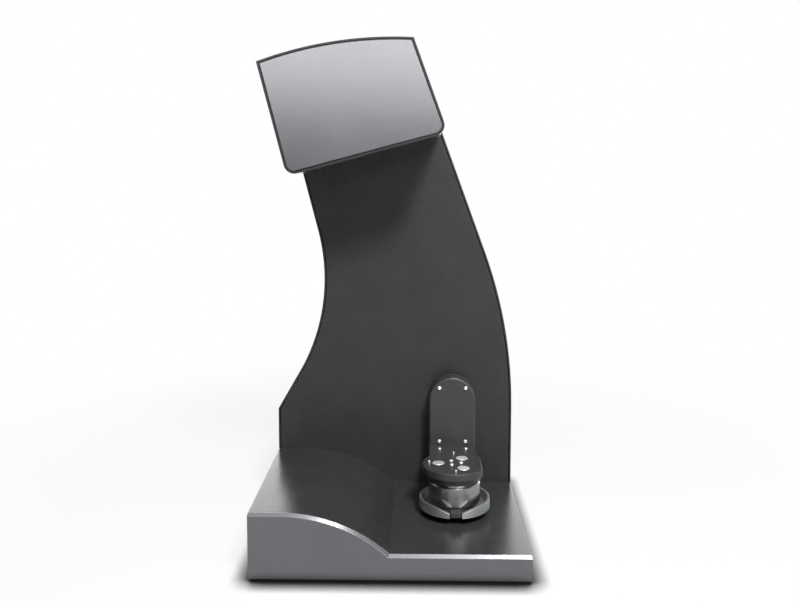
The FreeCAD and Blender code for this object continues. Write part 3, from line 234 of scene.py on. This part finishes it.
def solder_mask(name):
    """Green board with fine tracks and lighter pads."""
    made, tree, shader = new_material(name)
    place = place_of(tree)
    pattern = {"feature": "DISTANCE_TO_EDGE", "distance": "MANHATTAN"}
    cells = add(tree, "ShaderNodeTexVoronoi", pattern, Vector=place, Scale=400.0)
    tracks = remap(tree, cells.outputs["Distance"], 1, 0, start=0.02, end=0.09)
    ground = tint(tree, tracks, (0.012, 0.10, 0.035), (0.05, 0.22, 0.09))
    tree.links.new(ground, shader.inputs["Base Color"])
    tree.links.new(remap(tree, noise(tree, place, 0.01), 0.3, 0.42), shader.inputs["Roughness"])
    rough_ground(tree, shader, tracks, 0.00003)
    return made


MATERIALS = {
    "casing_paint": powder_coat("casing_paint", (0.037, 0.039, 0.039), 0.24, gloss_level=0.15, clouds=0.06),
    "plate_paint": powder_coat("plate_paint", (0.145, 0.147, 0.155), 0.24, metallic=0.9, grain=0.0009,
                               depth=0.000004, clouds=0.03),
    "arm_paint": powder_coat("arm_paint", (0.040, 0.042, 0.043), 0.32, gloss_level=0.3, grain=0.0008,
                             depth=0.00003, clouds=0.07),
    "motor_can": drawn_metal("motor_can", (0.27, 0.27, 0.262), 0.24, (1, 1, 8)),
    "steel": drawn_metal("steel", (0.66, 0.66, 0.67), 0.42, (1, 1, 4)),
    "magnet": drawn_metal("magnet", (0.88, 0.88, 0.89), 0.55, (6, 1, 1), depth=0.000004),
    "machined_aluminium": drawn_metal("machined_aluminium", (0.6, 0.61, 0.63), 0.34, (1, 6, 1)),
    "black_plastic": moulded("black_plastic", (0.022, 0.022, 0.024), 0.48),
    "lens_glass": coated_glass("lens_glass"),
    "circuit_board": solder_mask("circuit_board"),
    "rubber": moulded("rubber", (0.018, 0.018, 0.018), 0.75, grain=0.0008, depth=0.00006),
}

# The tray is of the motor's metal, but blasted and paler
NODE_FINISHES = {"guard_tray": drawn_metal("tray_metal", (0.36, 0.37, 0.38), 0.5, (1, 1, 8))}

for part in frame["record"]["subparts"]:
    slots = frame["nodes"][part["node"]].data.materials
    slots.clear()
    slots.append(NODE_FINISHES.get(part["node"], MATERIALS[part["material_slot"]]))


# Small round parts that the solids only sketch. Their sizes are shares of a radius, a head or a depth.
RING = 48
WELD = 1e-6
HEAD_HEIGHT = 0.7
SHANK_RADIUS = 0.55
SEAT_RADIUS = 0.97
SEAT_EDGE = 0.1
HEAD_BAND = 0.22
DOME_STEPS = 8
DOME_ARC = 0.72
DOME_RISE = 0.905
SOCKET_RIM = 0.5
SOCKET_TOP = (0.43, 0.96)
SOCKET_DEEP = (0.42, 0.45)
SOCKET_FLOOR = (0.05, 0.3)
LENS_BALL = 2.6
LENS_EDGE = 0.86
LENS_RIM = 0.45
LENS_FOOT = 0.5
LENS_STEPS = 10


def islands(node):
    """The separate lumps of a node: the lowest and highest corner of each, in metres."""
    shape = bmesh.new()
    shape.from_mesh(frame["nodes"][node].data)
    bmesh.ops.remove_doubles(shape, verts=shape.verts, dist=WELD)
    waiting = set(shape.verts)
    found = []
    while waiting:
        stack = [waiting.pop()]
        lump = list(stack)
        while stack:
            for edge in stack.pop().link_edges:
                for vert in edge.verts:
                    if vert in waiting:
                        waiting.remove(vert)
                        stack.append(vert)
                        lump.append(vert)
        corners = [vert.co for vert in lump]
        low = Vector(min(c[n] for c in corners) for n in range(3))
        high = Vector(max(c[n] for c in corners) for n in range(3))
        found.append((low, high))
    shape.free()
    return sorted(found, key=lambda box: tuple(round(v, 5) for v in box[0]))


def circle_loop(radius, height):
    return [Vector((radius * math.cos(math.tau * n / RING), radius * math.sin(math.tau * n / RING), height))
            for n in range(RING)]


def hexagon_loop(radius, height):
    """Six flat sides, with as many points as a circle loop."""
    loop = []
    for n in range(RING):
        turn = math.tau * n / RING
        off = (turn + math.pi / 6) % (math.pi / 3) - math.pi / 6
        reach = radius / math.cos(off)
        loop.append(Vector((reach * math.cos(turn), reach * math.sin(turn), height)))
    return loop


def skin_loops(shape, loops, turn):
    """Faces between loops, and a fan over the first and the last one."""
    rows = [[shape.verts.new(turn @ point) for point in loop] for loop in loops]
    for lower, upper in zip(rows, rows[1:]):
        for n in range(RING):
            m = (n + 1) % RING
            shape.faces.new((lower[n], lower[m], upper[m], upper[n]))
    shape.faces.new(list(reversed(rows[0])))
    shape.faces.new(rows[-1])


def to_axis(place, direction):
    """A frame at a place, whose Z axis looks along a direction."""
    return Matrix.Translation(place) @ Vector(direction).to_track_quat("Z", "Y").to_matrix().to_4x4()


def make_piece(name, shape, slot, body, replaced=(), smooth_angle=40):
    mesh = bpy.data.meshes.new(name)
    bmesh.ops.recalc_face_normals(shape, faces=shape.faces)
    for face in shape.faces:
        face.smooth = True
    for edge in shape.edges:
        if len(edge.link_faces) == 2 and edge.calc_face_angle() > math.radians(smooth_angle):
            edge.smooth = False
    shape.to_mesh(mesh)
    shape.free()
    mesh.materials.append(MATERIALS[slot])
    made = bpy.data.objects.new(name, mesh)
    scene.collection.objects.link(made)
    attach(made, body)
    if replaced:
        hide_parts(*replaced)
    return made


def button_screws(name, node, direction, body):
    """Domed heads with a hexagon socket, in place of a node's bevelled ones."""
    shape = bmesh.new()
    axis = Vector(direction)
    for lowest, highest in islands(node):
        middle = (lowest + highest) / 2
        along = max(lowest.dot(axis), highest.dot(axis))
        across = Vector(tuple(0 if abs(a) > 0.5 else 1 for a in axis))
        radius = max((highest - lowest)[n] for n in range(3) if across[n]) / 2
        head = HEAD_HEIGHT * radius
        crown = middle + axis * (along - middle.dot(axis))
        seat = crown - axis * head
        shank = SHANK_RADIUS * radius
        band = HEAD_BAND * head
        loops = [circle_loop(shank, -radius), circle_loop(shank, 0), circle_loop(SEAT_RADIUS * radius, 0),
                 circle_loop(radius, SEAT_EDGE * head), circle_loop(radius, band)]
        for n in range(1, DOME_STEPS + 1):
            bend = math.radians(90 * DOME_ARC * n / DOME_STEPS)
            rise = (head - band) * math.sin(bend) / DOME_RISE
            loops.append(circle_loop(radius * math.cos(bend), band + rise))
        loops.append(circle_loop(SOCKET_RIM * radius, head))
        loops += [hexagon_loop(wide * radius, high * head) for wide, high in (SOCKET_TOP, SOCKET_DEEP)]
        loops.append(circle_loop(SOCKET_FLOOR[0] * radius, SOCKET_FLOOR[1] * head))
        skin_loops(shape, loops, to_axis(seat, axis))
    return make_piece(name, shape, "steel", body, (node,))


button_screws("arm_cover_button_screws", "arm_cover_screws", (0, -1, 0), "arm")
button_screws("foot_cover_button_screws", "foot_cover_screws", (0, 0, 1), "arm")
button_screws("hub_button_screws", "hub_screws", (0, 0, 1), "stage")
button_screws("rear_button_screws", "rear_panel_screws", (0, 1, 0), "base")


def widest_way(node, toward):
    """The direction that a node's largest flat faces on one side look in."""
    total = Vector((0, 0, 0))
    for face in frame["nodes"][node].data.polygons:
        if face.normal.dot(toward) > 0.9:
            total += face.normal * face.area
    return total.normalized()


def domed_lens(name, node):
    """A front element with a domed face and a flat rim."""
    axis = widest_way(node, Vector((0, 0, -1)))
    corners = [Vector(vert.co) for vert in frame["nodes"][node].data.vertices]
    middle = sum(corners, Vector()) / len(corners)
    along = [(corner - middle).dot(axis) for corner in corners]
    radius = max(((corner - middle) - axis * (corner - middle).dot(axis)).length for corner in corners)
    seat = middle + axis * min(along)
    depth = max(along) - min(along)
    loops = [circle_loop(radius, 0), circle_loop(radius, LENS_RIM * depth)]
    ball = LENS_BALL * radius
    edge = LENS_EDGE * radius
    foot = LENS_FOOT * depth
    chord = math.sqrt(ball * ball - edge * edge)
    squeeze = min(1.0, (depth - foot) / (ball - chord))
    for n in range(LENS_STEPS):
        ring = edge * (1 - n / LENS_STEPS)
        rise = math.sqrt(ball * ball - ring * ring) - chord
        loops.append(circle_loop(ring, foot + rise * squeeze))
    shape = bmesh.new()
    skin_loops(shape, loops, to_axis(seat, axis))
    return make_piece(name, shape, "lens_glass", "base", (node,), smooth_angle=25)


for lens in ("projector_lens", "camera_lens_left", "camera_lens_right"):
    domed_lens(lens + "_dome", lens)


def soft_block(name, low, high, edge, slot, body):
    """A block with rounded edges between two corners, in millimetres."""
    shape = bmesh.new()
    bmesh.ops.create_cube(shape, size=MM)
    size = Vector(high) - Vector(low)
    for vert in shape.verts:
        vert.co = Vector(c * s for c, s in zip(vert.co, size)) + (Vector(low) + Vector(high)) / 2 * MM
    bmesh.ops.bevel(shape, geom=shape.edges[:], offset=edge * MM, segments=3, profile=0.5, affect="EDGES")
    return make_piece(name, shape, slot, body, smooth_angle=50)


STOP_LOW = (66.8, -77.5, 40.2)
STOP_HIGH = (79.2, -58.6, 46.6)
STOP_EDGE = 0.6
soft_block("tray_notch_stop", STOP_LOW, STOP_HIGH, STOP_EDGE, "rubber", "arm")


# Studio: pale floor that keeps the shadow, with a painted contact shadow near the object; white
# surroundings, soft lamps
def seen_directly(tree):
    """1 for rays from the camera, from gloss and through glass, 0 for light that falls on things."""
    path = add(tree, "ShaderNodeLightPath")
    outputs = path.outputs
    mirror = combine(tree, "MAXIMUM", outputs["Is Camera Ray"], outputs["Is Glossy Ray"])
    return combine(tree, "MAXIMUM", mirror, outputs["Is Transmission Ray"])


WORLD_LEVEL = 0.07
ROOM_DARK = 0.12
ROOM_TURN = 0.5
DARK_END = -0.4
WHITE_FROM = 0.1
world = bpy.data.worlds.new("studio")
scene.world = world
world.use_nodes = True
air = world.node_tree
air.nodes.clear()
air_path = add(air, "ShaderNodeLightPath").outputs
air_way = add(air, "ShaderNodeSeparateXYZ", i0=add(air, "ShaderNodeTexCoord").outputs["Generated"]).outputs
room_side = combine(air, "ADD", air_way["Y"], combine(air, "MULTIPLY", air_way["X"], ROOM_TURN))
backdrop = remap(air, room_side, ROOM_DARK, 1.0, start=DARK_END, end=WHITE_FROM)
through_gloss = combine(air, "MAXIMUM", air_path["Is Glossy Ray"], air_path["Is Transmission Ray"])
reflected = combine(air, "MULTIPLY", backdrop, through_gloss)
level = combine(air, "MAXIMUM", combine(air, "MAXIMUM", air_path["Is Camera Ray"], reflected), WORLD_LEVEL)
plain_air = add(air, "ShaderNodeBackground", Color=(1, 1, 1, 1), Strength=level)
add(air, "ShaderNodeOutputWorld", Surface=plain_air.outputs[0])

FLOOR_SIZE = 12
FLOOR_DROP = 0.0002
FLOOR_LIFT = 0.85
FLOOR_NEAR = 0.4
FLOOR_FAR = 0.9
FLOOR_CLOUD = 0.3
SHADOW_REACH = 0.024
floor_mesh = bpy.data.meshes.new("floor")
ground_plane = bmesh.new()
bmesh.ops.create_grid(ground_plane, x_segments=8, y_segments=8, size=FLOOR_SIZE)
ground_plane.to_mesh(floor_mesh)
ground_plane.free()
floor = bpy.data.objects.new("floor", floor_mesh)
floor.location.z = -FLOOR_DROP
scene.collection.objects.link(floor)
floor_paint, floor_tree, floor_shader = new_material("floor_paint")
floor_shader.inputs["Roughness"].default_value = 0.9
floor_shader.inputs["Specular IOR Level"].default_value = 0.1
floor_place = place_of(floor_tree)
# Painted contact shadow: ambient occlusion darkens the floor's colour and its white glow near the object.
painted_contact_shadow = add(floor_tree, "ShaderNodeAmbientOcclusion", {"samples": 8}, Distance=SHADOW_REACH).outputs["AO"]
shade = combine(floor_tree, "POWER", remap(floor_tree, painted_contact_shadow, 0.1, 1.0, start=0.5, end=1.0), 2.0)
floor_cloud = tint(floor_tree, remap(floor_tree, noise(floor_tree, floor_place, FLOOR_CLOUD), 0, 1),
                   (0.91, 0.91, 0.91), (0.93, 0.93, 0.93))
floor_with_painted_shadow = add(floor_tree, "ShaderNodeMix", {"data_type": "RGBA"}, i0=shade, i7=floor_cloud)
floor_with_painted_shadow.inputs[6].default_value = (0.02, 0.02, 0.02, 1)
floor_tree.links.new(floor_with_painted_shadow.outputs[2], floor_shader.inputs["Base Color"])
from_middle = add(floor_tree, "ShaderNodeVectorMath", {"operation": "LENGTH"}, i0=floor_place)
lifted = remap(floor_tree, from_middle.outputs["Value"], FLOOR_LIFT, 1.0, start=FLOOR_NEAR, end=FLOOR_FAR)
# The floor's glow is dimmed by the same painted contact shadow.
white_floor_with_painted_shadow = add(floor_tree, "ShaderNodeEmission", Strength=shade)
white_share = combine(floor_tree, "MULTIPLY", seen_directly(floor_tree), lifted)
floor_mix = add(floor_tree, "ShaderNodeMixShader", i0=white_share, i1=floor_shader.outputs[0],
                i2=white_floor_with_painted_shadow.outputs[0])
floor_tree.links.new(floor_mix.outputs[0], floor_tree.nodes["Material Output"].inputs["Surface"])
floor_mesh.materials.append(floor_paint)


def lamp(name, place, target, width, height, power):
    """An area lamp that the camera doesn't see."""
    data = bpy.data.lights.new(name, "AREA")
    data.shape = "RECTANGLE"
    data.size = width
    data.size_y = height
    data.energy = power
    made = bpy.data.objects.new(name, data)
    made.location = place
    made.rotation_euler = (Vector(target) - Vector(place)).to_track_quat("-Z", "Y").to_euler()
    made.visible_camera = False
    scene.collection.objects.link(made)
    return made


def card(*settings):
    """A lamp that only gloss shows."""
    lamp(*settings).visible_diffuse = False


card("front_card", (-0.05, -2.2, 1.33), (-0.05, 0, 1.09), 2.2, 1.3, 45)
card("right_card", (0.95, -1.5, 0.7), (0.1, 0, 0.35), 0.9, 1.3, 26)
card("back_card", (0, 2.2, 0.9), (0, 0, 0.2), 4.0, 1.5, 75)
lamp("key", (0.46, -1.2, 1.5), (0, 0, 0.35), 0.3, 0.3, 34)
lamp("top_box", (0.1, -0.6, 1.9), (0, -0.25, 0), 1.8, 1.2, 12)
